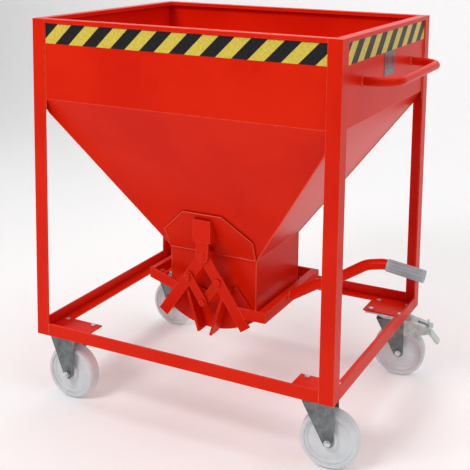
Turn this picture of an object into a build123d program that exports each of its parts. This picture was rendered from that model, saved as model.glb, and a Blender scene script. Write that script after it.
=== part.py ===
from build123d import *

from math import atan2, cos, degrees, hypot, radians, sin, sqrt, tan
import os

# Wheeled hopper trolley with a clamshell outlet gate, driven by a hand lever.
#
# Millimetres, +Z up, the floor at z = 0. Every piece is placed from the middle of the frame in
# plan, and the whole trolley is then shifted along X, so that the origin is the middle of the
# floor rectangle that it covers, lever included.

os.makedirs("parts", exist_ok=True)

# ---- driving dimensions -------------------------------------------------------------------
frame_length = 1040      # along X, outside the posts
frame_width = 834        # along Y, outside the posts
frame_height = 1042      # from the underside of the bottom rails to the top of the rim
post_leg = 45
rail_leg = 40
angle_wall = 5           # wall of the posts' and rails' angle section
rim_width = 30
rim_height = 12

sheet = 4                # hopper and outlet sheet
hopper_wall_height = 243 # upright part of the hopper walls, under the rim strips
outlet_length = 310      # outside, along X
outlet_width = 336       # outside, along Y
outlet_height = 187
outlet_top_height = 285  # above the underside of the rails

tape_height = 62
tape_drop = 3            # from the rim's underside to the tape
tape_thick = 0.5
plate_length = 96        # rating plate
plate_height = 72
plate_thick = 1.5

handle_tube = 27
handle_wall = 2.5
handle_spread = 474      # between the ends of the push handle
handle_reach = 97        # from the hopper wall to the middle of the tube
handle_bend = 68
handle_drop = 137        # from the top of the rim to the middle of the tube

wheel_diameter = 180
wheel_width = 50
hub_width = 54
hub_diameter = 50
axle_diameter = 20       # the wheel turns on this sleeve
axle_bolt = 12
castor_height = 233      # floor to the top of the castor plate
castor_plate = (140, 120, 5)
castor_inset_x = 80      # frame face to the middle of the castor plate
castor_inset_y = 82
castor_bolt_spacing = (105, 88)
castor_bolt = 10
bolt_head = (17, 5)        # button head of the castor bolts: diameter, height
castor_yaw = 8           # how far the swivel castors are turned, as stored
castor_trail = 41        # swivel castor: kingpin to axle
fixed_offset = 5         # fixed castor: middle of the plate to axle
corner_plate = (153, 135, 5)
fork_wall = 4
swivel_side_gap = 1      # between the hub and a swivel fork's legs, each side
fixed_side_gap = 6
fork_end_radius = 17     # round end of a fork leg, about the axle
fork_front_reach = 40    # from the kingpin to the front edge of the crown
crown_drop = 27          # from the top of the castor plate to the top of the fork crown
head_radius = 42         # swivel head
head_height = 18
kingpin_diameter = 16

brake_reach = 152        # from the kingpin to the end of the brake housing
brake_slope = 15         # its top falls away from the kingpin
brake_depths = (62, 46, 22)   # under its top: at the fork, in its middle, at its end
pedal_length = 50
pedal_width = 46
pedal_thick = 7
pedal_pin = 8
pedal_slope = 50         # below level, at rest

gate_pivot_height = 298  # above the underside of the rails
gate_radius = 262        # outside of the jaw shells, about the gate pivot
gate_sheet = 4
gate_span = 43           # degrees each shell reaches out from the middle
gate_seam = 1            # gap between the closed jaws
cheek_thick = 5
cheek_gap = 3            # outlet wall to cheek
cheek_inner_radius = 140
cheek_span = 39
pivot_diameter = 20
arm_width = 36
arm_thick = 8
arm_overhang = 3         # arms end this far outside the shells
arm_angle = 35           # from straight down, closed
front_arm_depths = {"right": 230, "left": 220}  # middle of the outlet to the arm's inner face
least_rear_arm_depth = 192   # the same for the right arm at the rear, unless the slope needs more
link_pitch = 95          # gate pivot to link pin, and link pin to link pin
link_width = 28
link_thick = 7
link_pin = 12
pin_head = (18, 7)         # hexagon head of the link pins: across flats, height
axle_nut = (19, 10)        # across flats, height
rib_thick = 8
rib_length = 155
rib_lean = 17.3          # from upright
rib_foot = 24            # from the middle of the gate to the rib's lower end
yoke_bar = 8             # front and rear bars of the yokes
yoke_height = 34
yoke_side_wall = 3       # the side bars are box section
# reach: middle of the gate to the outside of the side bar; drop: gate pivot to the bar's middle
# there; slope: the front and rear bars rise outwards; side: width of the side bar
yoke_sizes = {"right": {"reach": 222, "drop": 165, "slope": 0, "side": 25},
              "left": {"reach": 203, "drop": 92, "slope": 17, "side": 16}}
hanger_width = 62
hanger_wall = 5
lug_width = 43
lug_thick = 8
stiffener = 5            # plates on the front and rear slopes
yoke_screw = 8           # adjusting screw on the left yoke
yoke_nut = (13, 7)

lever_tube = 33.7
lever_wall = 3
lever_depth = -45        # Y of the lever
grip_diameter = 40
grip_length = 118
grip_slope = 8           # grip falls towards its end, degrees
grip_end_reach = 664     # gate pivot to the middle of the grip's end face
grip_end_drop = 12
grip_cap = 4
grip_grooves = 12

# ---- clearances ---------------------------------------------------------------------------
running_fit = 0.1        # radial, a pin or sleeve in its hole
bolt_clearance = 0.5     # radial, a bolt in its hole
turning_gap = 0.5        # between faces that turn past each other

# ---- levels and lines worked out from them -------------------------------------------------
half_length = frame_length / 2
half_width = frame_width / 2
rail_level = castor_height
top = rail_level + frame_height
rim_level = top - rim_height
fold_level = rim_level - hopper_wall_height
outlet_top = rail_level + outlet_top_height
outlet_foot = outlet_top - outlet_height
hopper_x = half_length - angle_wall       # outside of the hopper walls
hopper_y = half_width - angle_wall
outlet_x = outlet_length / 2
outlet_y = outlet_width / 2
pivot_level = rail_level + gate_pivot_height
arm_length = gate_radius + arm_overhang
eye_radius = arm_width / 2 + 2
axle_level = wheel_diameter / 2
slope_run_x = (hopper_x - outlet_x) / (fold_level - outlet_top)
slope_run_y = (hopper_y - outlet_y) / (fold_level - outlet_top)
slope_sheet_x = sheet * hypot(1, slope_run_x)   # level thickness of the slopes
slope_sheet_y = sheet * hypot(1, slope_run_y)
cheek_inner = outlet_y + cheek_gap
cheek_outer = cheek_inner + cheek_thick
handle_level = top - handle_drop
castor_x = half_length - castor_inset_x
castor_y = half_width - castor_inset_y
lever_tip = grip_end_reach + grip_diameter / 2 * sin(radians(grip_slope))
plan_shift = (half_length - lever_tip) / 2      # middle of the floor rectangle to the origin

CORNERS = {"front_left": (-1, -1), "front_right": (1, -1), "rear_left": (-1, 1), "rear_right": (1, 1)}
SIDES = {"left": -1, "right": 1}


# ---- helpers -------------------------------------------------------------------------------
def save(node, *solids):
    """Write one node, shifted to the trolley's own origin."""
    shifted = [Pos(plan_shift, 0, 0) * solid for solid in solids]
    shape = shifted[0] if len(shifted) == 1 else Compound(children=shifted)
    export_step(shape, f"parts/{node}.step")


def block(x, y, z):
    """A box between pairs of coordinates."""
    size = [high - low for low, high in (x, y, z)]
    middle = [(high + low) / 2 for low, high in (x, y, z)]
    return Pos(*middle) * Box(*size)


def outline(*points):
    return Polygon(*points, align=None)


def across(profile, near, far):
    """A profile drawn in X and Z, made solid from Y near to Y far."""
    return Pos(0, near, 0) * extrude(Plane.XZ * profile, amount=far - near, dir=(0, 1, 0))


def along(profile, start, end):
    """A profile drawn in Y and Z, made solid from X start to X end."""
    return Pos(start, 0, 0) * extrude(Plane.YZ * profile, amount=end - start, dir=(1, 0, 0))


def upright_cylinder(radius, low, high, x=0, y=0):
    return Pos(x, y, (low + high) / 2) * Cylinder(radius, high - low)


def cross_cylinder(radius, near, far, x, z):
    """A cylinder along Y."""
    return Pos(x, (near + far) / 2, z) * Rot(90, 0, 0) * Cylinder(radius, far - near)


def hexagon(across_flats, thick):
    return extrude(RegularPolygon(across_flats / sqrt(3), 6), amount=thick)


def cross_hexagon(across_flats, near, far, x, z):
    return Pos(x, far, z) * Rot(90, 0, 0) * hexagon(across_flats, far - near)


def front_slope(level):
    """Y, without its sign, of the outside of the front and rear slopes."""
    return outlet_y + (level - outlet_top) * slope_run_y


def side_slope(level):
    """X, without its sign, of the outside of the side slopes."""
    return outlet_x + (level - outlet_top) * slope_run_x


def about_pivot(angle, radius):
    """A point at an angle from straight down, to the right, about the gate pivot."""
    return radius * sin(radians(angle)), pivot_level - radius * cos(radians(angle))


# ---- frame ---------------------------------------------------------------------------------
def post(side_x, side_y):
    """An angle with its corner outside, from the rails' underside to the top."""
    x, y = side_x * half_length, side_y * half_width
    inner_x, inner_y = x - side_x * angle_wall, y - side_y * angle_wall
    toe_x, toe_y = x - side_x * post_leg, y - side_y * post_leg
    profile = outline((x, y), (toe_x, y), (toe_x, inner_y), (inner_x, inner_y), (inner_x, toe_y),
                      (x, toe_y))
    return Pos(0, 0, rail_level) * extrude(profile, amount=frame_height, dir=(0, 0, 1))


def rail_profile(side, half_span):
    """Angle section: upright leg outside, level leg at the bottom, pointing in."""
    outer, inner, toe = side * half_span, side * (half_span - angle_wall), side * (half_span - rail_leg)
    low, floor, high = rail_level, rail_level + angle_wall, rail_level + rail_leg
    return outline((outer, low), (toe, low), (toe, floor), (inner, floor), (inner, high), (outer, high))


def corner_plate_box(side_x, side_y):
    """The level plate that fills a corner between the rails, above a castor."""
    x_low, x_high = half_length - angle_wall - corner_plate[0], half_length - angle_wall
    y_low, y_high = half_width - angle_wall - corner_plate[1], half_width - angle_wall
    x = sorted((side_x * x_low, side_x * x_high))
    y = sorted((side_y * y_low, side_y * y_high))
    return block(x, y, (rail_level, rail_level + corner_plate[2]))


def bolt_places(side_x, side_y):
    spread_x, spread_y = castor_bolt_spacing[0] / 2, castor_bolt_spacing[1] / 2
    return [(side_x * castor_x + i * spread_x, side_y * castor_y + j * spread_y)
            for i in (-1, 1) for j in (-1, 1)]


def bolt_holes(side_x, side_y):
    radius = castor_bolt / 2 + bolt_clearance
    low, high = rail_level - 2 * castor_plate[2], rail_level + 2 * corner_plate[2]
    return [upright_cylinder(radius, low, high, x, y) for x, y in bolt_places(side_x, side_y)]


corner_plates = {name: corner_plate_box(*signs) for name, signs in CORNERS.items()}
rail_span_x = half_length - post_leg
rail_span_y = half_width - post_leg
for side, name in ((-1, "front"), (1, "rear")):
    rail = along(rail_profile(side, half_width), -rail_span_x, rail_span_x)
    for plate in corner_plates.values():
        rail -= plate
    save(f"rail_{name}", rail)
for side, name in ((-1, "left"), (1, "right")):
    rail = across(rail_profile(side, half_length), -rail_span_y, rail_span_y)
    for plate in corner_plates.values():
        rail -= plate
    save(f"rail_{name}", rail)
posts = [post(*signs) for signs in CORNERS.values()]
for (name, signs), solid in zip(CORNERS.items(), posts):
    save(f"post_{name}", solid)
    for hole in bolt_holes(*signs):
        corner_plates[name] -= hole
save("corner_plates", *corner_plates.values())

rim_inner_x, rim_inner_y = half_length - rim_width, half_width - rim_width
rim_span = (rim_level, top)
strips = [block((-half_length, half_length), (-half_width, -rim_inner_y), rim_span),
          block((-half_length, half_length), (rim_inner_y, half_width), rim_span),
          block((-half_length, -rim_inner_x), (-rim_inner_y, rim_inner_y), rim_span),
          block((rim_inner_x, half_length), (-rim_inner_y, rim_inner_y), rim_span)]
save("rim", *[strip - posts for strip in strips])


# ---- hopper --------------------------------------------------------------------------------
def slope_panel(upper, lower):
    """A sloping sheet between a level outline at the fold and one at the outlet's top."""
    ends = [Pos(0, 0, outlet_top) * outline(*lower), Pos(0, 0, fold_level) * outline(*upper)]
    return loft(ends, ruled=True)


def front_panel_outline(side, half_x, half_y):
    inner_x, inner_y = half_x - slope_sheet_x, half_y - slope_sheet_y
    return ((-half_x, side * half_y), (half_x, side * half_y),
            (inner_x, side * inner_y), (-inner_x, side * inner_y))


def side_panel_outline(side, half_x, half_y):
    inner_x, inner_y = half_x - slope_sheet_x, half_y - slope_sheet_y
    return ((side * half_x, -half_y), (side * half_x, half_y),
            (side * inner_x, inner_y), (side * inner_x, -inner_y))


wall_levels = (fold_level, rim_level)
for side, name in ((-1, "front"), (1, "rear")):
    wall_y = sorted((side * hopper_y, side * (hopper_y - sheet)))
    save(f"wall_{name}", block((-hopper_x, hopper_x), wall_y, wall_levels))
    save(f"slope_{name}", slope_panel(front_panel_outline(side, hopper_x, hopper_y),
                                      front_panel_outline(side, outlet_x, outlet_y)))
for side, name in ((-1, "left"), (1, "right")):
    wall_x = sorted((side * hopper_x, side * (hopper_x - sheet)))
    save(f"wall_{name}", block(wall_x, (sheet - hopper_y, hopper_y - sheet), wall_levels))
    save(f"slope_{name}", slope_panel(side_panel_outline(side, hopper_x, hopper_y),
                                      side_panel_outline(side, outlet_x, outlet_y)))

outlet_levels = (outlet_foot, outlet_top)
save("outlet",
     block((-outlet_x, outlet_x), (-outlet_y, sheet - outlet_y), outlet_levels),
     block((-outlet_x, outlet_x), (outlet_y - sheet, outlet_y), outlet_levels),
     block((-outlet_x, sheet - outlet_x), (sheet - outlet_y, outlet_y - sheet), outlet_levels),
     block((outlet_x - sheet, outlet_x), (sheet - outlet_y, outlet_y - sheet), outlet_levels))


def stiffener_plate(side):
    """A six-sided plate that lies on a slope, around the hanger."""
    low, middle, high = outlet_top + 2, outlet_top + 70, outlet_top + 151
    face = outline((-outlet_x, low), (outlet_x, low), (outlet_x + 5, middle), (outlet_x / 2 - 8, high),
                   (8 - outlet_x / 2, high), (-outlet_x - 5, middle))
    thick = stiffener * hypot(1, slope_run_y)
    section = outline((side * front_slope(low), low), (side * (front_slope(low) + thick), low),
                      (side * (front_slope(high) + thick), high), (side * front_slope(high), high))
    near, far = sorted((0, side * half_width))
    return across(face, near, far) & along(section, -half_length, half_length)


stiffeners = {side: stiffener_plate(side) for side in (-1, 1)}
save("stiffener_plates", *stiffeners.values())


def stiffened(level):
    """Y, without its sign, of the outside of a stiffener plate."""
    return front_slope(level) + stiffener * hypot(1, slope_run_y)


rear_arm_depth = max(least_rear_arm_depth, stiffened(pivot_level + eye_radius) + 2 * turning_gap)
rear_arm_depths = {"right": rear_arm_depth, "left": rear_arm_depth + arm_thick + 4 * turning_gap}


# ---- hangers, lugs and pivots ----------------------------------------------------------------
def hanger(side, reach, low, high):
    """A box bracket that stands out from the slope, open towards it."""
    def section(inset):
        face = reach - inset
        return outline((side * face, low + inset), (side * face, high - inset),
                       (side * stiffened(high - inset), high - inset),
                       (side * stiffened(low + inset), low + inset))
    half = hanger_width / 2
    hollow = along(section(hanger_wall), hanger_wall - half, half - hanger_wall)
    return along(section(0), -half, half) - hollow


def lug(near, far, hanger_foot):
    """A hanging plate with a round end about the gate pivot."""
    half = lug_width / 2
    shape = outline((-half, pivot_level), (half, pivot_level), (half, hanger_foot), (-half, hanger_foot))
    shape += Pos(0, pivot_level) * Circle(half)
    return across(shape - Pos(0, pivot_level) * Circle(pivot_diameter / 2), near, far)


front_lug_depth = front_arm_depths["right"] + arm_thick + 2 * turning_gap
rear_lug_depth = rear_arm_depths["left"] + arm_thick + 2 * turning_gap
front_hanger_foot, front_hanger_top = pivot_level + 47, pivot_level + 119
rear_hanger_foot, rear_hanger_top = pivot_level + 30, pivot_level + 80
save("hangers",
     hanger(-1, front_lug_depth + lug_thick + 3, front_hanger_foot, front_hanger_top),
     lug(-front_lug_depth - lug_thick, -front_lug_depth, front_hanger_foot),
     hanger(1, rear_lug_depth + lug_thick + 3, rear_hanger_foot, rear_hanger_top),
     lug(rear_lug_depth, rear_lug_depth + lug_thick, rear_hanger_foot))

pivot_radius = pivot_diameter / 2
pivot_root = stiffened(pivot_level + pivot_radius)
front_pivot = cross_cylinder(pivot_radius, -front_lug_depth - lug_thick - 3, -pivot_root, 0, pivot_level)
rear_pivot = cross_cylinder(pivot_radius, pivot_root, rear_lug_depth + lug_thick + 3, 0, pivot_level)
save("gate_pivots", front_pivot, rear_pivot)


# ---- gate jaws -------------------------------------------------------------------------------
pivot_hole = Pos(0, pivot_level) * Circle(pivot_radius + running_fit)


def sector(inner, outer, start, end):
    """A ring sector about the gate pivot, angles from straight down to the right."""
    middle = (start + end) / 2
    arc_out = ThreePointArc(about_pivot(start, outer), about_pivot(middle, outer), about_pivot(end, outer))
    arc_in = ThreePointArc(about_pivot(end, inner), about_pivot(middle, inner), about_pivot(start, inner))
    edges = [arc_out, Line(arc_out @ 1, arc_in @ 0), arc_in, Line(arc_in @ 1, arc_out @ 0)]
    return make_face(Wire(edges))


def to_side(side, shape):
    """The right-hand shape, or its mirror image for the left."""
    return shape if side > 0 else mirror(shape, about=Plane.YZ)


def arm_profile(angle):
    """A flat arm from its eye about the gate pivot outwards."""
    bar = Pos(0, -arm_length / 2) * Rectangle(arm_width, arm_length)
    bar += Circle(eye_radius)
    placed = Pos(0, pivot_level) * Rot(0, 0, angle) * bar
    return placed - pivot_hole


def pin_hole(place):
    return Pos(*place) * Circle(link_pin / 2 + running_fit)


link_x, link_drop = link_pitch * sin(radians(arm_angle)), link_pitch * cos(radians(arm_angle))
link_places = {name: (side * link_x, pivot_level - link_drop) for name, side in SIDES.items()}
link_meet = (0, pivot_level - 2 * link_drop)
seam_angle = degrees(gate_seam / 2 / gate_radius)   # half the seam, at the shells


def rib(near, far):
    """A flat bar on the front cheek, leaning out towards the arm, for the right jaw."""
    foot = (rib_foot, pivot_level - gate_radius - 2)
    direction = (sin(radians(rib_lean)), cos(radians(rib_lean)))
    head = (foot[0] + rib_length * direction[0], foot[1] + rib_length * direction[1])
    half = (rib_thick / 2 * direction[1], -rib_thick / 2 * direction[0])
    profile = outline((foot[0] - half[0], foot[1] - half[1]), (foot[0] + half[0], foot[1] + half[1]),
                      (head[0] + half[0], head[1] + half[1]), (head[0] - half[0], head[1] - half[1]))
    return across(profile, near, far)


def spacer(near, far, angle):
    """A short bar between a cheek and an arm, near the shell."""
    bar = Pos(0, -(gate_radius - 26)) * Rectangle(14, 40)
    return across(Pos(0, pivot_level) * Rot(0, 0, angle) * bar, near, far)


def yoke(side, front, rear, sizes):
    """A U of bars from the front arm round one side of the outlet to the rear arm."""
    reach, rise, splay = sizes["reach"], tan(radians(sizes["slope"])), tan(radians(arm_angle))
    centre = pivot_level - sizes["drop"]
    start = (sizes["drop"] + reach * rise) * splay / (1 + rise * splay)   # on the arm's middle line
    inner = reach - sizes["side"]

    def bar_point(x, half):
        return side * x, centre + (x - reach) * rise + half

    half = yoke_height / 2
    profile = outline(bar_point(start, -half), bar_point(reach, -half),
                      bar_point(reach, half), bar_point(start, half))
    side_x = sorted((side * inner, side * reach))
    core_x = sorted((side * (inner + yoke_side_wall), side * (reach - yoke_side_wall)))
    middle = bar_point(reach - sizes["side"] / 2, 0)[1]
    core_half = half - yoke_side_wall
    side_bar = block(side_x, (-front, rear), (middle - half, middle + half))
    side_bar -= block(core_x, (-front, rear), (middle - core_half, middle + core_half))
    front_bar = across(profile, -front - yoke_bar, -front)
    return front_bar + across(profile, rear, rear + yoke_bar) + side_bar


yokes = {}
for name, side in SIDES.items():
    front, rear = front_arm_depths[name], rear_arm_depths[name]
    shell = sector(gate_radius - gate_sheet, gate_radius, seam_angle, gate_span)
    shell = across(shell, -cheek_inner, cheek_inner)
    cheek_seam = seam_angle * gate_radius / cheek_inner_radius
    cheek = sector(cheek_inner_radius, gate_radius, cheek_seam, cheek_span)
    save(f"jaw_{name}_shell", to_side(side, shell))
    save(f"jaw_{name}_cheeks", to_side(side, across(cheek, -cheek_outer, -cheek_inner)),
         to_side(side, across(cheek, cheek_inner, cheek_outer)))
    arm = arm_profile(side * arm_angle)
    front_arm = across(arm - pin_hole(link_places[name]), -front - arm_thick, -front)
    rear_arm = across(arm, rear, rear + arm_thick)
    save(f"arms_{name}", front_arm, rear_arm)
    save(f"ribs_{name}", to_side(side, rib(-front, -cheek_outer)),
         to_side(side, spacer(-front, -cheek_outer, arm_angle)),
         to_side(side, spacer(cheek_outer, rear, arm_angle)))
    yokes[name] = yoke(side, front, rear, yoke_sizes[name]) - front_arm - rear_arm

# a tab behind the left yoke's front bar, with a bolt through it and a nut below
tab_x = (-yoke_sizes["left"]["reach"] + yoke_sizes["left"]["side"], -150)
tab_y = (-front_arm_depths["left"], 28 - front_arm_depths["left"])
tab_top = pivot_level - yoke_sizes["left"]["drop"]
bolt_x, bolt_y = sum(tab_x) / 2, sum(tab_y) / 2
screw_radius = yoke_screw / 2
screw = upright_cylinder(screw_radius, tab_top - 20, tab_top + 3, bolt_x, bolt_y)
screw_head = Pos(bolt_x, bolt_y, tab_top) * hexagon(yoke_nut[0], 6)
screw_nut = Pos(bolt_x, bolt_y, tab_top - 8 - yoke_nut[1]) * hexagon(*yoke_nut)
yokes["left"] += block(tab_x, tab_y, (tab_top - 8, tab_top))
yokes["left"] -= upright_cylinder(screw_radius + bolt_clearance, tab_top - 9, tab_top + 1, bolt_x, bolt_y)
save("yoke_bolt", screw + screw_head + screw_nut)
for name, solid in yokes.items():
    save(f"yoke_{name}", solid)


# ---- scissor links ---------------------------------------------------------------------------
def link(place, near):
    """A round-ended link from an arm's pin to the pin where the links meet."""
    (x0, z0), (x1, z1) = place, link_meet
    angle = degrees(atan2(z1 - z0, x1 - x0))
    pitch = hypot(x1 - x0, z1 - z0)
    bar = Pos(pitch / 2, 0) * Rectangle(pitch, link_width)
    bar += [Circle(link_width / 2), Pos(pitch, 0) * Circle(link_width / 2)]
    placed = Pos(x0, z0) * Rot(0, 0, angle) * bar
    return across(placed - pin_hole(place) - pin_hole(link_meet), near, near + link_thick)


def pin(place, near, far):
    """A pin with a hexagon head in front and a washer face behind."""
    x, z = place
    body = cross_cylinder(link_pin / 2, near, far, x, z)
    head = cross_hexagon(pin_head[0], near - pin_head[1], near, x, z)
    return body + head + cross_cylinder(link_pin / 2 + 3, far, far + 3, x, z)


front_layer = -front_arm_depths["right"] - arm_thick   # right arm and left link
rear_layer = -front_arm_depths["left"] - arm_thick     # left arm and right link
pin_start = front_layer - turning_gap
pin_end = rear_layer + arm_thick + turning_gap
save("link_left", link(link_places["left"], front_layer + (arm_thick - link_thick) / 2))
save("link_right", link(link_places["right"], rear_layer + (arm_thick - link_thick) / 2))
save("link_pin_left", pin(link_places["left"], pin_start, pin_end))
save("link_pin_right", pin(link_places["right"], pin_start, pin_end))
save("link_pin_meet", pin(link_meet, pin_start, pin_end))


# ---- lever -----------------------------------------------------------------------------------
def lever_path():
    """Out of the right yoke, up past the rail, level, then down to the grip's end."""
    root_x, root = yoke_sizes["right"]["reach"], pivot_level - yoke_sizes["right"]["drop"]
    points = [(root_x - 45, root - 20), (root_x + 90, root + 64), (root_x + 120, root + 70),
              (root_x + 257, root + 159), grip_point(grip_length + 12), grip_point(grip_cap)]
    return [(x, lever_depth, z) for x, z in points]


def grip_point(back):
    """X and Z of a point on the grip's middle line, this far back from its end."""
    slope = radians(grip_slope)
    return grip_end_reach - back * cos(slope), pivot_level - grip_end_drop + back * sin(slope)


def tube(path, outer, inner):
    start = Plane(origin=path @ 0, z_dir=path % 0)
    return sweep(start * (Circle(outer) - Circle(inner)), path)


lever_line = FilletPolyline(*lever_path(), radius=[40, 40, 90, 60])
lever = tube(lever_line, lever_tube / 2, lever_tube / 2 - lever_wall)
lever -= block((0, yoke_sizes["right"]["reach"]), (lever_depth - 60, lever_depth + 60), (0, top))
save("lever", lever)

grip_end_x, grip_end_z = grip_point(0)
grip = Pos(0, 0, -grip_length / 2) * Cylinder(grip_diameter / 2, grip_length)
grip -= Pos(0, 0, -grip_length / 2 - grip_cap) * Cylinder(lever_tube / 2, grip_length)
for turn in range(grip_grooves):
    groove = Pos(grip_diameter / 2, 0, -grip_length / 2) * Box(2.4, 2.2, grip_length - 16)
    grip -= Rot(0, 0, turn * 360 / grip_grooves) * groove
save("lever_grip", Pos(grip_end_x, lever_depth, grip_end_z) * Rot(0, 90 + grip_slope, 0) * grip)

# ---- push handle, tape and plate ---------------------------------------------------------------
handle_half = handle_spread / 2
handle_line = [(hopper_x, -handle_half), (hopper_x + handle_reach, -handle_half),
               (hopper_x + handle_reach, handle_half), (hopper_x, handle_half)]
handle_path = FilletPolyline(*[(x, y, handle_level) for x, y in handle_line], radius=handle_bend)
save("push_handle", tube(handle_path, handle_tube / 2, handle_tube / 2 - handle_wall))

tape_levels = (rim_level - tape_drop - tape_height, rim_level - tape_drop)
tape_span_x, tape_span_y = half_length - post_leg, half_width - post_leg
save("hazard_tape",
     block((-tape_span_x, tape_span_x), (-hopper_y - tape_thick, -hopper_y), tape_levels),
     block((hopper_x, hopper_x + tape_thick), (-tape_span_y, tape_span_y), tape_levels))
plate_levels = (tape_levels[0] - plate_height - 1, tape_levels[0] - 1)
plate_span = (-plate_length / 2, plate_length / 2)
save("rating_plate", block((hopper_x, hopper_x + plate_thick), plate_span, plate_levels))


# ---- castors -----------------------------------------------------------------------------------
# The castors at the handle's end swivel; the two at the other end are fixed.
def castor_place(name):
    side_x, side_y = CORNERS[name]
    return Pos(side_x * castor_x, side_y * castor_y, 0) * Rot(0, 0, castor_yaw if side_x > 0 else 0)


def axle_offset(name):
    return castor_trail if CORNERS[name][0] > 0 else fixed_offset


def side_gap(name):
    return swivel_side_gap if CORNERS[name][0] > 0 else fixed_side_gap


crown_level = castor_height - crown_drop
crown_foot = crown_level - fork_wall
head_top = castor_height - castor_plate[2]
kingpin_foot = crown_foot - 12
lower_race_top = head_top - head_height - turning_gap
swivel_inner = hub_width / 2 + swivel_side_gap     # half the space between the legs
swivel_outer = swivel_inner + fork_wall
fixed_inner = hub_width / 2 + fixed_side_gap
fixed_outer = fixed_inner + fork_wall


def castor_top(signs):
    side_x, side_y = signs
    x, y, thick = castor_plate
    plate = Pos(side_x * castor_x, side_y * castor_y, castor_height - thick / 2) * Box(x, y, thick)
    for hole in bolt_holes(side_x, side_y):
        plate -= hole
    return plate


def swivel_head(signs):
    """The fixed half of the swivel bearing, with its kingpin and nut."""
    head = upright_cylinder(head_radius, head_top - head_height, head_top)
    head = fillet(head.edges().group_by(Axis.Z)[0], 5)
    kingpin = upright_cylinder(kingpin_diameter / 2, kingpin_foot, head_top - 1)
    nut = Pos(0, 0, kingpin_foot + 2) * hexagon(24, crown_foot - turning_gap - kingpin_foot - 2)
    return Pos(signs[0] * castor_x, signs[1] * castor_y, 0) * (head + kingpin + nut)


def leg_outline(trail, front, rear, high):
    """Leg from a level top edge down to a round end about the axle, with straight sides."""
    def side_line(top_x, way):
        dx, dz = top_x - trail, high - axle_level
        reach = hypot(dx, dz)
        turn = atan2(dz, dx) + way * atan2(sqrt(reach ** 2 - fork_end_radius ** 2), fork_end_radius)
        return trail + fork_end_radius * cos(turn), axle_level + fork_end_radius * sin(turn)
    leg = outline((front, high), side_line(front, 1), (trail, axle_level), side_line(rear, -1), (rear, high))
    return leg + Pos(trail, axle_level) * Circle(fork_end_radius)


def axle_hole(trail):
    return Pos(trail, axle_level) * Circle(axle_bolt / 2 + running_fit)


def channel(profile, inner, outer, high):
    """A profile with a hollow below its top wall, open at both ends."""
    hollow = outline((-300, 0), (300, 0), (300, high - fork_wall), (-300, high - fork_wall))
    return across(profile, -outer, outer) - across(hollow, -inner, inner)


def swivel_fork():
    """Pressed fork: crown, two legs and the turning half of the swivel bearing."""
    legs = leg_outline(castor_trail, -fork_front_reach, castor_trail + fork_end_radius, crown_level)
    body = channel(legs - axle_hole(castor_trail), swivel_inner, swivel_outer, crown_level)
    body = fillet(body.edges().filter_by(Plane.XY).group_by(Axis.Z)[-1].filter_by(Axis.X), 3)
    body += upright_cylinder(head_radius - 6, crown_level, lower_race_top)
    return body - upright_cylinder(kingpin_diameter / 2 + running_fit, crown_foot - 1, lower_race_top + 1)


def fixed_fork():
    """Two legs bent down from under the castor plate."""
    legs = leg_outline(fixed_offset, -castor_plate[0] / 2, fixed_offset + fork_end_radius + 12, head_top)
    return channel(legs - axle_hole(fixed_offset), fixed_inner, fixed_outer, head_top)


def wheel():
    """Moulded wheel: tread, stepped rim, dished disc and hub, with a plain bore."""
    bore, hub, rim_out = axle_diameter / 2 + running_fit, hub_diameter / 2, wheel_diameter / 2
    face, half_hub = wheel_width / 2, hub_width / 2
    half = [(bore, half_hub), (hub, half_hub), (hub + 4, 15), (62, 13), (69, 18), (74, 18), (75, face - 3),
            (rim_out - 9, face - 1), (rim_out - 4, face - 4), (rim_out, face - 11)]
    profile = outline(*half, *[(r, -y) for r, y in reversed(half)])
    return revolve(profile, Axis.Y)


def axle(gap):
    """Sleeve between the legs, bolt through it, head at the back and nut in front."""
    bolt_radius = axle_bolt / 2
    inner = hub_width / 2 + gap
    outer = inner + fork_wall
    sleeve = Rot(90, 0, 0) * (Cylinder(axle_diameter / 2, 2 * inner)
                              - Cylinder(bolt_radius + running_fit, 3 * inner))
    bolt = cross_cylinder(bolt_radius, -outer - 14, outer + 1, 0, 0)
    head = cross_hexagon(axle_nut[0], outer, outer + 8, 0, 0)
    nut = cross_hexagon(axle_nut[0], -outer - axle_nut[1], -outer, 0, 0) - bolt
    return sleeve, bolt + head, nut


bolts = []
for name, signs in CORNERS.items():
    place = castor_place(name)
    hub = place * Pos(axle_offset(name), 0, axle_level)
    save(f"fork_{name}", place * (swivel_fork() if signs[0] > 0 else fixed_fork()))
    save(f"wheel_{name}", hub * wheel())
    save(f"axle_{name}", *[hub * solid for solid in axle(side_gap(name))])
    for x, y in bolt_places(*signs):
        head_level = rail_level + corner_plate[2]
        foot_level = rail_level - castor_plate[2]
        shank = upright_cylinder(castor_bolt / 2, foot_level - 4, head_level, x, y)
        head = upright_cylinder(bolt_head[0] / 2, head_level, head_level + bolt_head[1], x, y)
        bolts.append(shank + fillet(head.edges().group_by(Axis.Z)[-1], bolt_head[1] / 2))
save("castor_plates", *[castor_top(signs) for signs in CORNERS.values()])
save("swivel_heads", *[swivel_head(signs) for signs in CORNERS.values() if signs[0] > 0])
save("castor_bolts", *bolts)


# ---- brake on the rear right castor ----------------------------------------------------------
brake_place = castor_place("rear_right")
brake_root = castor_trail + fork_end_radius
brake_top = head_top - 14                     # at the fork


def brake_level(x):
    """The housing's top, at a distance from the kingpin."""
    return brake_top - (x - brake_root) * tan(radians(brake_slope))


def brake_side():
    middle = (brake_root + brake_reach) / 2 - 10
    root_depth, middle_depth, end_depth = brake_depths
    return outline((brake_root, brake_level(brake_root) - root_depth),
                   (middle, brake_level(middle) - middle_depth),
                   (brake_reach - 12, brake_level(brake_reach - 12) - end_depth),
                   (brake_reach, brake_level(brake_reach) - 14),
                   (brake_reach, brake_level(brake_reach)), (brake_root, brake_level(brake_root)))


pedal_pivot = (brake_reach - 10, brake_level(brake_reach - 10) - 15)


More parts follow.
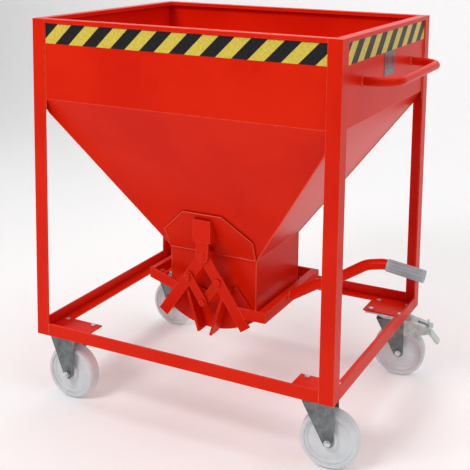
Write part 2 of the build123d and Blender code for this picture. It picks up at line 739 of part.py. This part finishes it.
def brake_housing():
    """A channel off the fork's rear edge: sloping top plate and two tapering sides."""
    body = across(brake_side(), -swivel_outer, swivel_outer)
    hollow = outline((0, 0), (300, 0), (300, brake_level(300) - fork_wall), (0, brake_level(0) - fork_wall))
    body -= across(hollow, -swivel_inner, swivel_inner)
    slot = block((brake_reach - 49, brake_reach - 17), (-9, 9), (brake_level(brake_reach) - 20, brake_top))
    pin_radius = pedal_pin / 2 + running_fit
    pivot = cross_cylinder(pin_radius, -swivel_outer - 1, swivel_outer + 1, *pedal_pivot)
    return body - slot - pivot


def brake_pedal():
    """A tongue on a cross pin, sloping down from the housing's end."""
    half = pedal_width / 2
    tongue = Pos(pedal_length / 2, 0, 0) * Box(pedal_length, pedal_width, pedal_thick)
    tongue = fillet(tongue.edges().filter_by(Axis.Z).group_by(Axis.X)[-1], 9)
    tongue = Pos(pedal_pivot[0], 0, pedal_pivot[1]) * Rot(0, pedal_slope, 0) * Pos(4, 0, 0) * tongue
    boss = cross_cylinder(pedal_pin, -half, half, *pedal_pivot)
    ends = swivel_outer + 1.5
    return tongue + boss + cross_cylinder(pedal_pin / 2, -ends, ends, *pedal_pivot)


save("brake_housing", brake_place * brake_housing())
save("brake_pedal", brake_place * brake_pedal())
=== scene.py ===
"""The looks of the wheeled hopper trolley: powder coat, welds, tape, wheels and zinc parts."""

from math import cos, pi, radians, sin

import bmesh
import bpy
from mathutils import Matrix, Vector, noise


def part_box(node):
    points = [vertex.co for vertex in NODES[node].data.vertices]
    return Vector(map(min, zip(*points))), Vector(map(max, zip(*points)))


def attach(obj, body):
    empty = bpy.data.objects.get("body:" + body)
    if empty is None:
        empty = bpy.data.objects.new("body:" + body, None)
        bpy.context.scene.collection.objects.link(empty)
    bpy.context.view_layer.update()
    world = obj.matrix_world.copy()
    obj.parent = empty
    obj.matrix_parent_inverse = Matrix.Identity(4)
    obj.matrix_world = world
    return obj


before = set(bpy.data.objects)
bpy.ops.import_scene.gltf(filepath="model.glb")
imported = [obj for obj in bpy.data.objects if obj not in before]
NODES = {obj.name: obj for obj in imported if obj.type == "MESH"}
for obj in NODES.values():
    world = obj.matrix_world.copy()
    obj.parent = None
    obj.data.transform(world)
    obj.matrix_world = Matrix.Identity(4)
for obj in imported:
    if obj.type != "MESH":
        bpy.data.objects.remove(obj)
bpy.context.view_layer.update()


# ---- shader maths ---------------------------------------------------------------------------
class Value:
    """One output socket of a material's node tree, with ordinary arithmetic."""

    def __init__(self, tree, socket):
        self.tree, self.socket = tree, socket

    def maths(self, operation, *others, swapped=False):
        node = self.tree.nodes.new("ShaderNodeMath")
        node.operation = operation
        terms = (*others, self) if swapped else (self, *others)
        for place, term in enumerate(terms):
            feed(self.tree, node.inputs[place], term)
        return Value(self.tree, node.outputs[0])

    def __add__(self, other): return self.maths("ADD", other)
    def __radd__(self, other): return self.maths("ADD", other)
    def __sub__(self, other): return self.maths("SUBTRACT", other)
    def __rsub__(self, other): return self.maths("SUBTRACT", other, swapped=True)
    def __mul__(self, other): return self.maths("MULTIPLY", other)
    def __rmul__(self, other): return self.maths("MULTIPLY", other)
    def __truediv__(self, other): return self.maths("DIVIDE", other)
    def __rtruediv__(self, other): return self.maths("DIVIDE", other, swapped=True)
    def __mod__(self, other): return self.maths("FLOORED_MODULO", other)
    def __gt__(self, other): return self.maths("GREATER_THAN", other)
    def __lt__(self, other): return self.maths("LESS_THAN", other)

    def between(self, low, high):
        """0 below low, 1 above high, smooth between them."""
        node = self.tree.nodes.new("ShaderNodeMapRange")
        node.interpolation_type = "SMOOTHSTEP"
        feed(self.tree, node.inputs["Value"], self)
        feed(self.tree, node.inputs["From Min"], low)
        feed(self.tree, node.inputs["From Max"], high)
        return Value(self.tree, node.outputs["Result"])


def feed(tree, socket, term):
    if isinstance(term, Value):
        tree.links.new(term.socket, socket)
    else:
        socket.default_value = term


class Finish:
    """A material under construction: its tree, its one main shader and any other node."""

    def __init__(self, name):
        self.material = bpy.data.materials.new(name)
        self.material.use_nodes = True
        self.tree = self.material.node_tree
        self.tree.nodes.clear()
        self.shader = self.tree.nodes.new("ShaderNodeBsdfPrincipled")
        output = self.tree.nodes.new("ShaderNodeOutputMaterial")
        self.tree.links.new(self.shader.outputs[0], output.inputs["Surface"])

    def node(self, kind, settings=None, output=0, **inputs):
        """Any node: its type, its settings, then its socket values or links."""
        node = self.tree.nodes.new("ShaderNode" + kind)
        for name, setting in (settings or {}).items():
            setattr(node, name, setting)
        for name, term in inputs.items():
            feed(self.tree, node.inputs[name.replace("_", " ")], term)
        return Value(self.tree, node.outputs[output])

    def place(self):
        """Position in the row frame, in metres."""
        return self.node("TexCoord", output="Object")

    def split(self, vector):
        node = self.tree.nodes.new("ShaderNodeSeparateXYZ")
        feed(self.tree, node.inputs[0], vector)
        return [Value(self.tree, node.outputs[i]) for i in range(3)]

    def noise(self, scale, detail=4.0, roughness=0.55, stretch=None):
        where = self.place()
        if stretch:
            where = self.node("Mapping", Vector=where, Scale=stretch)
        return self.node("TexNoise", Vector=where, Scale=scale, Detail=detail, Roughness=roughness)

    def blend(self, share, one, other):
        """Colour one where share is 0, other where it is 1."""
        node = self.tree.nodes.new("ShaderNodeMix")
        node.data_type = "RGBA"
        feed(self.tree, node.inputs["Factor"], share)
        feed(self.tree, node.inputs[6], one)
        feed(self.tree, node.inputs[7], other)
        return Value(self.tree, node.outputs[2])

    def hollow(self, reach):
        """1 in corners and under edges, 0 on open faces."""
        return 1.0 - self.node("AmbientOcclusion", {"samples": 8}, output="AO", Distance=reach)

    def edge(self, radius):
        """1 on sharp outside edges, from how far a rounded normal leans off the true one."""
        rounded = self.node("Bevel", {"samples": 6}, Radius=radius)
        flat = self.node("NewGeometry", output="Normal")
        lean = self.tree.nodes.new("ShaderNodeVectorMath")
        lean.operation = "DOT_PRODUCT"
        feed(self.tree, lean.inputs[0], rounded)
        feed(self.tree, lean.inputs[1], flat)
        return (1.0 - Value(self.tree, lean.outputs["Value"])).between(0.004, 0.12)

    def surface(self, color, roughness, bump=None, bump_depth=0.0002, edge_radius=None, **constants):
        feed(self.tree, self.shader.inputs["Base Color"], color)
        feed(self.tree, self.shader.inputs["Roughness"], roughness)
        for name, number in constants.items():
            self.shader.inputs[name.replace("_", " ")].default_value = number
        normal = self.node("Bevel", {"samples": 6}, Radius=edge_radius) if edge_radius else None
        if bump is not None:
            bumps = self.tree.nodes.new("ShaderNodeBump")
            feed(self.tree, bumps.inputs["Height"], bump)
            bumps.inputs["Distance"].default_value = bump_depth
            bumps.inputs["Strength"].default_value = 1.0
            if normal is not None:
                feed(self.tree, bumps.inputs["Normal"], normal)
            normal = Value(self.tree, bumps.outputs[0])
        if normal is not None:
            feed(self.tree, self.shader.inputs["Normal"], normal)
        return self.material


def shade(red, green, blue):
    return (red, green, blue, 1.0)


# ---- finishes -------------------------------------------------------------------------------
def powder_coat(name="powder_coat", rough=0.27, corner_shade=0.65, bead_highlight=0.0, gloss=0.08):
    """Glossy orange-red powder coat: orange peel, painted shade in the corners, painted highlights along the
    edges, which are also a little rougher.

    The bead share mixes in a painted highlight, for the glint on the crown of a weld.
    """
    finish = Finish(name)
    clouds = finish.noise(3.2, 5.0)
    fine = finish.noise(42.0, 3.0)
    peel = finish.noise(420.0, 2.0, 0.5)
    drift = finish.noise(1.1, 2.0)
    red = finish.blend(clouds.between(0.35, 0.65), shade(0.73, 0.012, 0.001), shade(0.80, 0.018, 0.002))
    # Painted highlight: a paler, more orange red for weld beads.
    if bead_highlight:
        red = finish.blend(bead_highlight, red, shade(0.95, 0.12, 0.04))
    # Painted shade: a deeper red where ambient occlusion finds corners and overhangs.
    red = finish.blend(finish.hollow(0.030).between(0.20, 0.85) * corner_shade, red, shade(0.36, 0.002, 0.003))
    # Painted highlight: a paler orange along sharp edges, broken up by noise; the same edges are made a
    # little rougher.
    edge_highlight_and_rubs = finish.edge(0.0026) * finish.noise(55.0, 6.0, 0.7).between(0.30, 0.55)
    red = finish.blend(edge_highlight_and_rubs * 0.6, red, shade(0.98, 0.20, 0.09))
    specks = finish.noise(260.0, 2.0, 0.6).between(0.74, 0.80) * drift.between(0.5, 0.65)
    red = finish.blend(specks * 0.4, red, shade(0.45, 0.02, 0.01))
    roughness = rough + clouds * 0.06 + fine * 0.05 + edge_highlight_and_rubs * 0.12
    relief = peel * 0.55 + fine * 0.9
    return finish.surface(red, roughness, relief, 0.00016, 0.0012, Coat_Weight=0.03, Coat_Roughness=0.10,
                          Specular_IOR_Level=gloss)


def zinc(name, dark, light, roughness, streak=(1.0, 1.0, 1.0)):
    """Zinc-plated steel: patchy spangle, fine brushing, painted shade in the corners, painted highlights on
    the edges.
    """
    finish = Finish(name)
    patches = finish.noise(38.0, 5.0)
    grain = finish.noise(160.0, 6.0, 0.65, stretch=streak)
    metal = finish.blend((patches * 0.7 + grain * 0.3).between(0.34, 0.66), dark, light)
    # Painted shade: darker toward black where ambient occlusion finds corners.
    metal = finish.blend(finish.hollow(0.008).between(0.3, 0.9) * 0.6, metal, shade(0.05, 0.05, 0.05))
    # Painted highlight: lighter along sharp edges, which are also a little smoother.
    bright = finish.edge(0.0008)
    metal = finish.blend(bright * 0.5, metal, shade(0.85, 0.87, 0.88))
    rough = roughness + grain * 0.16 - bright * 0.08
    return finish.surface(metal, rough, grain, 0.00008, 0.0006, Metallic=0.85)


def nylon(name):
    """Satin moulded nylon: slightly translucent white, faint flow marks, scuffs on the tread, dust."""
    finish = Finish(name)
    flow = finish.noise(9.0, 4.0)
    fine = finish.noise(310.0, 3.0)
    up = finish.split(finish.place())[2]
    dust = finish.noise(70.0, 6.0, 0.7).between(0.5, 0.72) * (1.0 - up.between(0.0, 0.05))
    white = finish.blend(flow.between(0.35, 0.65), shade(0.70, 0.72, 0.75), shade(0.80, 0.81, 0.83))
    # Painted shade: darker grey in corners and recesses found by ambient occlusion.
    white = finish.blend(finish.hollow(0.012).between(0.2, 0.9) * 0.5, white, shade(0.36, 0.38, 0.42))
    white = finish.blend(dust * 0.35, white, shade(0.40, 0.37, 0.33))
    return finish.surface(white, 0.38 + flow * 0.08 + dust * 0.2, fine, 0.00006, 0.0012,
                          Subsurface_Weight=0.15, Subsurface_Scale=0.01, Specular_IOR_Level=0.45)


def tape_finish(name, along, start, lean):
    """Yellow and black stripes across a strip, with the beaded look of reflective film."""
    finish = Finish(name)
    axes = finish.split(finish.place())
    travel = axes[along] - start + (axes[2] - tape_top()) * lean
    black = (travel % STRIPE_PERIOD) / STRIPE_PERIOD < 0.5
    beads = finish.node("TexVoronoi", Vector=finish.place(), Scale=620.0)
    mottle = finish.noise(150.0, 4.0, 0.7)
    wear = finish.noise(34.0, 6.0, 0.7).between(0.60, 0.72)
    yellow = finish.blend(mottle.between(0.3, 0.7), shade(0.64, 0.48, 0.045), shade(0.80, 0.64, 0.11))
    navy = finish.blend(mottle.between(0.35, 0.7), shade(0.006, 0.005, 0.007), shade(0.018, 0.016, 0.020))
    film = finish.blend(black, yellow, navy)
    film = finish.blend(wear * 0.22, film, shade(0.30, 0.27, 0.20))
    return finish.surface(film, 0.33 + mottle * 0.22, beads, 0.00005, None, Specular_IOR_Level=0.25)


def plate_finish():
    """Dark rating plate with a dull red field in its middle and plain pale bars; no writing."""
    finish = Finish("rating_plate_film")
    low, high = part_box("rating_plate")
    _, across, up = finish.split(finish.place())
    u = (across - low[1]) / (high[1] - low[1])
    v = (up - low[2]) / (high[2] - low[2])
    grain = finish.noise(240.0, 4.0)

    def field(u0, v0, u1, v1):
        return (u > u0) * (u < u1) * (v > v0) * (v < v1)

    film = finish.blend(grain.between(0.3, 0.7), shade(0.020, 0.018, 0.020), shade(0.045, 0.040, 0.042))
    film = finish.blend(field(0.30, 0.34, 0.72, 0.80), film, shade(0.22, 0.035, 0.045))
    rows = (v % 0.09) < 0.03
    film = finish.blend(rows * field(0.10, 0.06, 0.90, 0.28) * 0.8, film, shade(0.26, 0.25, 0.25))
    border = 1.0 - field(0.03, 0.04, 0.97, 0.96)
    film = finish.blend(border * 0.6, film, shade(0.20, 0.19, 0.19))
    return finish.surface(film, 0.30 + grain * 0.15, grain, 0.00004, 0.0006,
                          Coat_Weight=0.3, Coat_Roughness=0.15)


def grip_finish():
    """Grey soft-touch rubber: fine pebble, painted highlights on the ribs' edges, painted shade in the
    grooves.
    """
    finish = Finish("grip_rubber")
    pebble = finish.noise(700.0, 2.0)
    cloud = finish.noise(30.0, 5.0)
    grey = finish.blend(cloud.between(0.3, 0.7), shade(0.33, 0.37, 0.40), shade(0.43, 0.47, 0.50))
    # Painted shade: darker in the grooves found by ambient occlusion.
    grey = finish.blend(finish.hollow(0.004).between(0.25, 0.8) * 0.75, grey, shade(0.12, 0.14, 0.16))
    # Painted highlight: lighter grey along the ribs' sharp edges.
    grey = finish.blend(finish.edge(0.0012) * 0.45, grey, shade(0.52, 0.56, 0.58))
    return finish.surface(grey, 0.48 + cloud * 0.14, pebble, 0.00012, 0.0008)


def pedal_finish():
    """Pale grey-green coat on the pedal, with painted highlights along its edges."""
    finish = Finish("pedal_coat")
    cloud = finish.noise(60.0, 5.0)
    pale = finish.blend(cloud.between(0.3, 0.7), shade(0.52, 0.64, 0.63), shade(0.64, 0.74, 0.72))
    scuffs = finish.noise(120.0, 6.0, 0.75).between(0.60, 0.70)
    pale = finish.blend(scuffs * 0.5, pale, shade(0.34, 0.38, 0.38))
    # Painted highlight: paler along the sharp edges.
    pale = finish.blend(finish.edge(0.001) * 0.6, pale, shade(0.80, 0.84, 0.84))
    return finish.surface(pale, 0.32 + cloud * 0.12 + scuffs * 0.15, cloud, 0.00008, 0.0008, Coat_Weight=0.2)


def tape_top():
    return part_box("hazard_tape")[1][2]


STRIPE_PERIOD = 0.103
RED = powder_coat()
# Weld beads: the coat with a painted highlight mixed in and only a little painted shade.
WELD = powder_coat("welded_coat", 0.20, corner_shade=0.12, bead_highlight=0.5, gloss=0.4)
DULL_ZINC = zinc("dull_zinc", shade(0.13, 0.15, 0.155), shade(0.24, 0.26, 0.265), 0.36, (1.0, 1.0, 0.25))
HEAD_ZINC = zinc("head_zinc", shade(0.40, 0.43, 0.43), shade(0.60, 0.63, 0.62), 0.28)
BRIGHT_ZINC = zinc("bright_zinc", shade(0.50, 0.54, 0.57), shade(0.80, 0.83, 0.85), 0.20)
NYLON = nylon("wheel_nylon")
GRIP = grip_finish()
PEDAL = pedal_finish()
PLATE = plate_finish()


def paint(node, material):
    """One finish all over a frame node."""
    mesh = NODES[node].data
    mesh.materials.clear()
    mesh.materials.append(material)


FINISHES = {"fork_": DULL_ZINC, "wheel_": NYLON, "axle_": BRIGHT_ZINC, "castor_bolts": BRIGHT_ZINC,
            "castor_plates": HEAD_ZINC, "swivel_heads": HEAD_ZINC, "brake_housing": HEAD_ZINC,
            "brake_pedal": PEDAL, "lever_grip": GRIP, "rating_plate": PLATE}
for node in NODES:
    paint(node, next((FINISHES[start] for start in FINISHES if node.startswith(start)), RED))


# ---- meshes ---------------------------------------------------------------------------------
def mesh_object(name, mesh, material, body, smooth=True):
    piece = bpy.data.objects.new(name, mesh)
    bpy.context.scene.collection.objects.link(piece)
    mesh.materials.append(material)
    if smooth:
        for face in mesh.polygons:
            face.use_smooth = True
    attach(piece, body)
    return piece


def weld_bead(name, points, radius, body="trolley", closed=False, ripple=0.006):
    """A weld bead along a path: a flattened, rippled string of overlapping puddles."""
    path = [Vector(point) for point in points]
    if closed:
        path.append(path[0])
    steps = []
    for start, end in zip(path, path[1:]):
        count = max(1, round((end - start).length / (ripple / 3)))
        steps += [start.lerp(end, k / count) for k in range(count)]
    steps.append(path[-1])
    build = bmesh.new()
    rings, sides, travelled = [], 8, 0.0
    for place, centre in enumerate(steps):
        ahead = steps[min(place + 1, len(steps) - 1)] - steps[max(place - 1, 0)]
        if place:
            travelled += (centre - steps[place - 1]).length
        way = ahead.normalized()
        side = way.orthogonal().normalized()
        up = way.cross(side)
        puddle = 1.0 + 0.16 * sin(2 * pi * travelled / ripple)
        puddle += 0.22 * noise.noise(centre * 90)
        if not closed and place in (0, len(steps) - 1):
            puddle *= 0.35
        rings.append([build.verts.new(centre + radius * puddle * (cos(2 * pi * k / sides) * side
                                                                  + sin(2 * pi * k / sides) * up))
                      for k in range(sides)])
    for ring, following in zip(rings, rings[1:]):
        for k in range(sides):
            build.faces.new((ring[k], ring[(k + 1) % sides], following[(k + 1) % sides], following[k]))
    build.faces.new(list(reversed(rings[0])))
    build.faces.new(rings[-1])
    mesh = bpy.data.meshes.new(name)
    build.to_mesh(mesh)
    build.free()
    return mesh_object(name, mesh, WELD, body)


def corner(node, x, y, z):
    """A corner of a node's box: -1 or 1 on each axis, 0 for its middle."""
    low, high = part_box(node)
    sides = enumerate((x, y, z))
    return Vector([(low[i] + high[i]) / 2 + side * (high[i] - low[i]) / 2 for i, side in sides])


def frame_welds():
    """Beads where the rails and walls meet the posts."""
    wall_bead, rail_bead = 0.0022, 0.00121
    start_gap, below_fold = 0.002, 0.030
    for side_x, x in (("left", -1), ("right", 1)):
        for side_y, y in (("front", -1), ("rear", 1)):
            post, rail = f"post_{side_y}_{side_x}", f"rail_{side_y}"
            low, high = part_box(rail)
            toe_x = corner(post, -x, 0, 0).x
            outer_y = corner(post, 0, y, 0).y
            weld_bead(f"weld_rail_{side_y}_{side_x}",
                      [(toe_x, outer_y, low[2] + start_gap), (toe_x, outer_y, high[2])], rail_bead)
            wall = f"wall_{side_y}"
            wall_y = corner(wall, 0, y, 0).y
            fold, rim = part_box(wall)[0][2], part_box("rim")[0][2]
            weld_bead(f"weld_wall_{side_y}_{side_x}",
                      [(toe_x, wall_y, fold - below_fold), (toe_x, wall_y, rim)], wall_bead)
            side_rail, side_wall = f"rail_{side_x}", f"wall_{side_x}"
            toe_y = corner(post, 0, -y, 0).y
            outer_x = corner(post, x, 0, 0).x
            low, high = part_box(side_rail)
            weld_bead(f"weld_side_rail_{side_y}_{side_x}",
                      [(outer_x, toe_y, low[2] + start_gap), (outer_x, toe_y, high[2])], rail_bead)
            wall_x = corner(side_wall, x, 0, 0).x
            weld_bead(f"weld_side_wall_{side_y}_{side_x}",
                      [(wall_x, toe_y, fold - below_fold), (wall_x, toe_y, rim)], wall_bead)


def circle(centre, radius, normal_axis, count=28):
    """Points round a circle whose normal is a row axis."""
    points = []
    for k in range(count):
        angle = 2 * pi * k / count
        offset = [radius * cos(angle), radius * sin(angle)]
        offset.insert(normal_axis, 0.0)
        points.append(Vector(centre) + Vector(offset))
    return points


def tube_welds():
    """Rings where the push handle meets the wall and where the lever leaves its yoke."""
    low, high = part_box("push_handle")
    level = (low[2] + high[2]) / 2
    tube = (high[2] - low[2]) / 2
    wall_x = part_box("wall_right")[1][0]
    for name, y in (("front", low[1] + tube), ("rear", high[1] - tube)):
        weld_bead(f"weld_handle_{name}", circle((wall_x + 0.001, y, level), tube, 0), 0.0030, closed=True)
    low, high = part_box("lever")
    radius = (high[1] - low[1]) / 2
    middle = (low[1] + high[1]) / 2
    yoke_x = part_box("yoke_right")[1][0]
    yoke_z = (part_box("yoke_right")[0][2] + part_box("yoke_right")[1][2]) / 2
    ring = circle((yoke_x + 0.001, middle, yoke_z + 0.010), radius, 0)
    weld_bead("weld_lever", ring, 0.0030, body="jaw_right", closed=True)


def face_rim(node, toward, wanted=lambda centre: True):
    """The corners, in order, round the flat face of a node that looks a given way."""
    build = bmesh.new()
    build.from_mesh(NODES[node].data)
    bmesh.ops.remove_doubles(build, verts=build.verts, dist=0.00001)
    toward = Vector(toward).normalized()
    faces = {face for face in build.faces
             if face.normal.dot(toward) > 0.95 and wanted(face.calc_center_median())}
    edges = [edge for edge in build.edges if sum(face in faces for face in edge.link_faces) == 1]
    around = {}
    for edge in edges:
        for here, there in (edge.verts, reversed(edge.verts)):
            around.setdefault(here.index, []).append(there)
    start = edges[0].verts[0]
    loop, last, here = [start.co.copy()], None, start
    while True:
        following = [vert for vert in around[here.index] if vert is not last]
        last, here = here, following[0]
        if here is start:
            break
        loop.append(here.co.copy())
    build.free()
    return loop


def hopper_welds():
    """Mitred slope corners, the slopes' foot round the outlet, the outlet's corners, the stiffener's rim."""
    fold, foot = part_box("wall_front")[0][2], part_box("outlet")[0][2]
    for name_x, x in (("left", -1), ("right", 1)):
        for name_y, y in (("front", -1), ("rear", 1)):
            wall_x, wall_y = corner(f"wall_{name_x}", x, 0, 0).x, corner(f"wall_{name_y}", 0, y, 0).y
            upper, lower = Vector((wall_x, wall_y, fold)), corner("outlet", x, y, 1)
            weld_bead(f"weld_slope_{name_y}_{name_x}", [upper.lerp(lower, 0.09), lower], 0.0020)
            weld_bead(f"weld_outlet_{name_y}_{name_x}", [(lower.x, lower.y, foot + 0.004), lower], 0.0018)
    ring = [corner("outlet", x, y, 1) for x, y in ((-1, -1), (1, -1), (1, 1), (-1, 1))]
    weld_bead("weld_outlet_top", ring, 0.0020, closed=True)
    plate = face_rim("stiffener_plates", (0, -1, -0.9), lambda centre: centre.y < 0)
    weld_bead("weld_stiffener_front", plate, 0.0019, closed=True)
    plate = face_rim("stiffener_plates", (0, 1, -0.9), lambda centre: centre.y > 0)
    weld_bead("weld_stiffener_rear", plate, 0.0019, closed=True)


def gate_welds():
    """Beads along the ribs, where they stand on the cheeks."""
    cheek_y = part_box("jaw_right_cheeks")[0][1]
    for name in ("left", "right"):
        side = -1 if name == "left" else 1
        foot = face_rim(f"ribs_{name}", (0, -1, 0), lambda centre: centre.y < 0)
        inner = min(foot, key=lambda point: (point.z, side * point.x))
        outer = max(foot, key=lambda point: point.z)
        start, end = Vector((inner.x, cheek_y, inner.z)), Vector((outer.x, cheek_y, outer.z))
        weld_bead(f"weld_rib_{name}", [start.lerp(end, share) for share in (0.04, 0.80)], 0.0020,
                  body=f"jaw_{name}")


def screw(name, centre, radius, height, material, body, sides=6):
    """A small upright fastener with a chamfered top."""
    build = bmesh.new()
    levels = [(radius * 0.99, 0.0), (radius, 0.0), (radius, height * 0.78), (radius * 0.86, height)]
    middle = Vector(centre)
    turns = [2 * pi * k / sides for k in range(sides)]
    rings = [[build.verts.new(middle + Vector((r * cos(turn), r * sin(turn), z))) for turn in turns]
             for r, z in levels]
    for ring, following in zip(rings, rings[1:]):
        for k in range(sides):
            build.faces.new((ring[k], ring[(k + 1) % sides], following[(k + 1) % sides], following[k]))
    build.faces.new(list(reversed(rings[0])))
    build.faces.new(rings[-1])
    mesh = bpy.data.meshes.new(name)
    build.to_mesh(mesh)
    build.free()
    return mesh_object(name, mesh, material, body, smooth=False)


def brake_screw():
    """The adjusting screw with its lock nut that stands on the brake housing."""
    low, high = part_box("brake_housing")
    nut_height, towards_end, aside, share_up = 0.006, 0.034, 0.004, 0.70
    place = Vector(((low[0] + high[0]) / 2 + towards_end, (low[1] + high[1]) / 2 + aside,
                    low[2] + (high[2] - low[2]) * share_up))
    screw("brake_lock_nut", place, 0.0065, nut_height, BRIGHT_ZINC, "fork_rear_right")
    screw("brake_adjuster", place + Vector((0, 0, nut_height)), 0.0034, 0.013, BRIGHT_ZINC,
          "fork_rear_right", sides=16)


frame_welds()
tube_welds()
hopper_welds()
gate_welds()
brake_screw()


def striped_tape():
    """Each stretch of tape gets its own stripes: the front one along X, the side one along Y."""
    front_left = corner("hazard_tape", -1, -1, 0)
    tape = NODES["hazard_tape"].data
    tape.materials.clear()
    tape.materials.append(tape_finish("tape_front", 0, front_left.x - 0.002, -1.0))
    tape.materials.append(tape_finish("tape_side", 1, front_left.y + 0.030, -1.0))
    side_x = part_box("wall_right")[1][0] - 0.0005
    for face in tape.polygons:
        face.material_index = 1 if face.center.x > side_x else 0


striped_tape()


# ---- floor, light and camera ------------------------------------------------------------------
def studio():
    """A plain pale floor that curves up behind, with a faint glow of its own."""
    build = bmesh.new()
    depth, rise, half, bend = 2.6, 5.0, 9.0, 1.2
    profile = [(-9.0, 0.0), (depth, 0.0)]
    profile += [(depth + bend * sin(radians(a)), bend - bend * cos(radians(a))) for a in range(10, 91, 10)]
    profile.append((depth + bend, rise))
    rows = [[build.verts.new((x, y, z)) for x in (-half, half)] for y, z in profile]
    for row, following in zip(rows, rows[1:]):
        build.faces.new((row[0], row[1], following[1], following[0]))
    mesh = bpy.data.meshes.new("floor")
    build.to_mesh(mesh)
    build.free()
    for face in mesh.polygons:
        face.use_smooth = True
    floor = bpy.data.objects.new("floor", mesh)
    bpy.context.scene.collection.objects.link(floor)
    finish = Finish("pale_floor")
    speck = finish.noise(60.0, 4.0)
    pale = finish.blend(speck.between(0.3, 0.7), shade(0.93, 0.93, 0.93), shade(0.95, 0.95, 0.95))
    mesh.materials.append(finish.surface(pale, 0.62 + speck * 0.1, speck, 0.00005,
                                         Emission_Color=shade(1, 1, 1), Emission_Strength=0.12))


def lamp(name, place, aim, size, power, color=(1.0, 1.0, 1.0)):
    light = bpy.data.lights.new(name, "AREA")
    light.shape, light.size, light.size_y = "RECTANGLE", size[0], size[1]
    light.energy, light.color = power, color
    holder = bpy.data.objects.new(name, light)
    holder.location = place
    holder.rotation_euler = (Vector(aim) - Vector(place)).to_track_quat("-Z", "Y").to_euler()
    bpy.context.scene.collection.objects.link(holder)


def lights():
    middle = (0.0, 0.0, 0.7)
    lamp("key", (-1.4, -4.0, 4.4), middle, (2.0, 1.6), 138)
    lamp("side", (4.2, -1.4, 3.6), middle, (2.0, 2.2), 36)
    lamp("top", (0.2, 0.4, 4.4), (0, 0, 0), (4.0, 4.0), 96)
    lamp("left_fill", (-4.2, 0.5, 1.8), middle, (2.0, 3.0), 8)
    world = bpy.data.worlds.new("studio")
    world.use_nodes = True
    world.node_tree.nodes["Background"].inputs["Color"].default_value = (1.0, 1.0, 1.0, 1.0)
    world.node_tree.nodes["Background"].inputs["Strength"].default_value = 0.20
    bpy.context.scene.world = world


def camera():
    """From the front right, above the rim, with a long lens; placed from the middle of the frame."""
    yaw, pitch, roll = radians(26.8), radians(7.99), radians(0.74)
    ahead = Vector((-sin(yaw) * cos(pitch), cos(yaw) * cos(pitch), -sin(pitch)))
    level = Vector((cos(yaw), sin(yaw), 0.0))
    lift = level.cross(ahead)
    right = cos(roll) * level + sin(roll) * lift
    up = -sin(roll) * level + cos(roll) * lift
    data = bpy.data.cameras.new("camera")
    data.lens, data.sensor_width = 72.9, 36.0
    data.shift_x, data.shift_y = -0.0064, -0.374
    holder = bpy.data.objects.new("camera", data)
    place = Vector((corner("rim", 0, 0, 0).x + 1.403, -2.786, 1.571))
    turn = Matrix((right, up, -ahead)).transposed()
    holder.matrix_world = Matrix.Translation(place) @ turn.to_4x4()
    bpy.context.scene.collection.objects.link(holder)
    bpy.context.scene.camera = holder


studio()
lights()
camera()
scene = bpy.context.scene
scene.view_settings.view_transform = "Standard"
scene.view_settings.look = "None"
